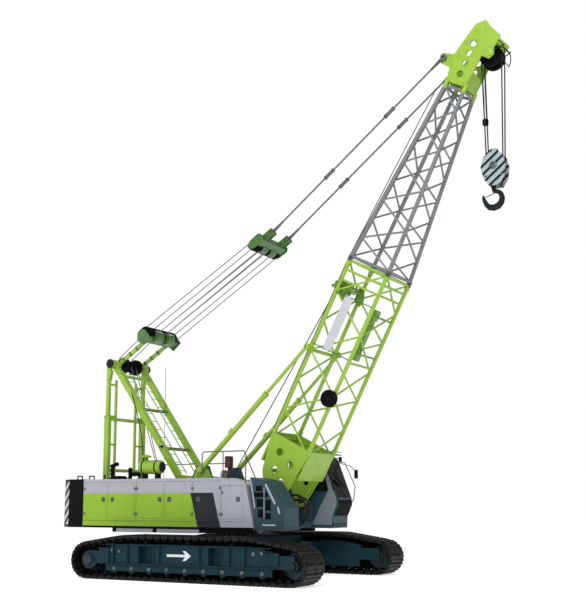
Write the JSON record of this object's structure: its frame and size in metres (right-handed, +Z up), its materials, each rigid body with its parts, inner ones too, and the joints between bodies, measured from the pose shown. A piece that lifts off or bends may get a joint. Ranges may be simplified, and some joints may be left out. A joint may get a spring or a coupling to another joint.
{
  "type": "crawler crane",
  "caption": "Crawler crane with a luffing lattice boom, mast gantry, rope-hung hook block and a slewing house on two tracks.",
  "frame": {"origin": "middle of the footprint of the whole box, on the ground under the tracks", "axes": "+X forwards (boom side), +Y to the machine's left (cab side), +Z up"},
  "size_m": [11.742, 5.19, 12.8168],
  "materials": {
    "green_paint": "gloss",
    "dark_green_paint": "gloss",
    "grey_paint": "gloss",
    "teal_paint": "satin",
    "black_paint": "satin",
    "white_paint": "gloss",
    "bare_steel": "worn",
    "slate_paint": "satin",
    "cab_glass": "tinted",
    "seat_cloth": "woven",
    "cast_black": "worn"
  },
  "bodies": {
    "undercarriage": {"car_body": "teal_paint", "slew_ring": "bare_steel", "track_frame_right": "teal_paint", "track_frame_left": "teal_paint", "track_right": "cast_black", "track_left": "cast_black", "drive_sprocket_right": "cast_black", "drive_sprocket_left": "cast_black", "idler_right": "cast_black", "idler_left": "cast_black"},
    "upper_works": {"upper_frame": "slate_paint", "counterweight_lower": "black_paint", "counterweight_upper": "black_paint", "house_right": "grey_paint", "house_left": "grey_paint", "step_box": "teal_paint", "hoist_winch": "slate_paint", "luffing_winch": "slate_paint", "air_cleaner": "green_paint", "exhaust_pipe": "black_paint", "engine_block": "slate_paint", "cab_shell": "slate_paint", "cab_windscreen": "cab_glass", "cab_window_right": "cab_glass", "cab_seat": "seat_cloth", "cab_console": "black_paint", "gantry_front": "green_paint", "gantry_rear": "green_paint", "gantry_head_shaft": "cast_black"},
    "boom": {"boom_base": "green_paint", "boom_top": "grey_paint", "boom_head": "green_paint", "head_sheaves": "cast_black", "cable_reel": "black_paint"},
    "bail": {"bail": "dark_green_paint"},
    "spreader": {"spreader": "dark_green_paint"},
    "pendants": {"pendant_right": "bare_steel", "pendant_left": "bare_steel"},
    "backstop_tubes": {"backstop_tube_right": "green_paint", "backstop_tube_left": "green_paint"},
    "backstop_rods": {"backstop_rod_right": "green_paint", "backstop_rod_left": "green_paint"},
    "hoist_line": {"hoist_limit_weight": "cast_black"},
    "hook_block": {"hook_block": "white_paint"},
    "hook": {"hook": "cast_black"},
    "cab_door": {"cab_door": "slate_paint", "cab_door_glass": "cab_glass"},
    "door_right_1": {"door_right_1": "green_paint"},
    "door_right_2": {"door_right_2": "green_paint"},
    "door_right_3": {"door_right_3": "green_paint"},
    "door_right_4": {"door_right_4": "green_paint"},
    "door_right_5": {"door_right_5": "grey_paint"},
    "door_right_6": {"door_right_6": "grey_paint"},
    "door_left_1": {"door_left_1": "green_paint"},
    "door_left_2": {"door_left_2": "green_paint"}
  },
  "joints": [
    {"name": "slew", "type": "hinge", "parent": "undercarriage", "child": "upper_works", "pos_m": [-1.211, 0, 1.1], "axis": [0, 0, 1], "continuous": true},
    {"name": "boom_luff", "type": "hinge", "parent": "upper_works", "child": "boom", "pos_m": [0.119, 0, 1.83], "axis": [0, -1, 0], "range_deg": [-32.8, 17.2]},
    {"name": "bail_swing", "type": "hinge", "parent": "upper_works", "child": "bail", "pos_m": [-4.901, 0, 5.47], "axis": [0, -1, 0], "range_deg": [-21.16, 11.34]},
    {"name": "spreader_travel", "type": "slide", "parent": "bail", "child": "spreader", "axis": [0.8434, 0, 0.5373], "range_m": [-1.683, 3.191]},
    {"name": "pendant_swing", "type": "hinge", "parent": "spreader", "child": "pendants", "pos_m": [-0.1274, 0, 8.51112], "axis": [0, -1, 0], "range_deg": [-10.34, 5.66]},
    {"name": "backstop_swing", "type": "hinge", "parent": "upper_works", "child": "backstop_tubes", "pos_m": [-1.911, 0, 2.6], "axis": [0, -1, 0], "range_deg": [-24.85, 13.27]},
    {"name": "backstop_stroke", "type": "slide", "parent": "backstop_tubes", "child": "backstop_rods", "axis": [0.7228, 0, 0.691], "range_m": [-0.575, 1.079]},
    {"name": "hook_plumb", "type": "hinge", "parent": "boom", "child": "hoist_line", "pos_m": [5.55858, 0, 12.02048], "axis": [0, -1, 0], "range_deg": [-17.7, 33.3]},
    {"name": "hook_hoist", "type": "slide", "parent": "hoist_line", "child": "hook_block", "axis": [0, 0, 1], "range_m": [-3.7, 0.5]},
    {"name": "hook_swivel", "type": "hinge", "parent": "hook_block", "child": "hook", "pos_m": [5.489, 0, 8.95], "axis": [0, 0, 1], "continuous": true},
    {"name": "cab_door_hinge", "type": "hinge", "parent": "upper_works", "child": "cab_door", "pos_m": [-0.191, 1.57, 2], "axis": [0, 0, 1], "range_deg": [0, 85]},
    {"name": "door_right_1_hinge", "type": "hinge", "parent": "upper_works", "child": "door_right_1", "pos_m": [-5.011, -1.55, 1.8], "axis": [0, 0, -1], "range_deg": [0, 85]},
    {"name": "door_right_2_hinge", "type": "hinge", "parent": "upper_works", "child": "door_right_2", "pos_m": [-3.351, -1.55, 1.8], "axis": [0, 0, 1], "range_deg": [0, 85]},
    {"name": "door_right_3_hinge", "type": "hinge", "parent": "upper_works", "child": "door_right_3", "pos_m": [-3.331, -1.55, 1.8], "axis": [0, 0, -1], "range_deg": [0, 85]},
    {"name": "door_right_4_hinge", "type": "hinge", "parent": "upper_works", "child": "door_right_4", "pos_m": [-1.631, -1.55, 1.8], "axis": [0, 0, 1], "range_deg": [0, 85]},
    {"name": "door_right_5_hinge", "type": "hinge", "parent": "upper_works", "child": "door_right_5", "pos_m": [-0.836, -1.55, 1.8], "axis": [0, 0, 1], "range_deg": [0, 85]},
    {"name": "door_right_6_hinge", "type": "hinge", "parent": "upper_works", "child": "door_right_6", "pos_m": [-0.816, -1.55, 1.8], "axis": [0, 0, -1], "range_deg": [0, 85]},
    {"name": "door_left_1_hinge", "type": "hinge", "parent": "upper_works", "child": "door_left_1", "pos_m": [-4.221, 1.55, 1.8], "axis": [0, 0, 1], "range_deg": [0, 85]},
    {"name": "door_left_2_hinge", "type": "hinge", "parent": "upper_works", "child": "door_left_2", "pos_m": [-2.471, 1.55, 1.8], "axis": [0, 0, -1], "range_deg": [0, 85]}
  ],
  "couplings": [
    {"joint": "bail_swing", "follows": "boom_luff", "ratio": 0.63},
    {"joint": "spreader_travel", "follows": "boom_luff", "m_per_rad": -5.54},
    {"joint": "pendant_swing", "follows": "boom_luff", "ratio": 0.3},
    {"joint": "backstop_swing", "follows": "boom_luff", "ratio": 0.7425},
    {"joint": "backstop_stroke", "follows": "boom_luff", "m_per_rad": -1.85},
    {"joint": "hook_plumb", "follows": "boom_luff", "ratio": -1}
  ]
}
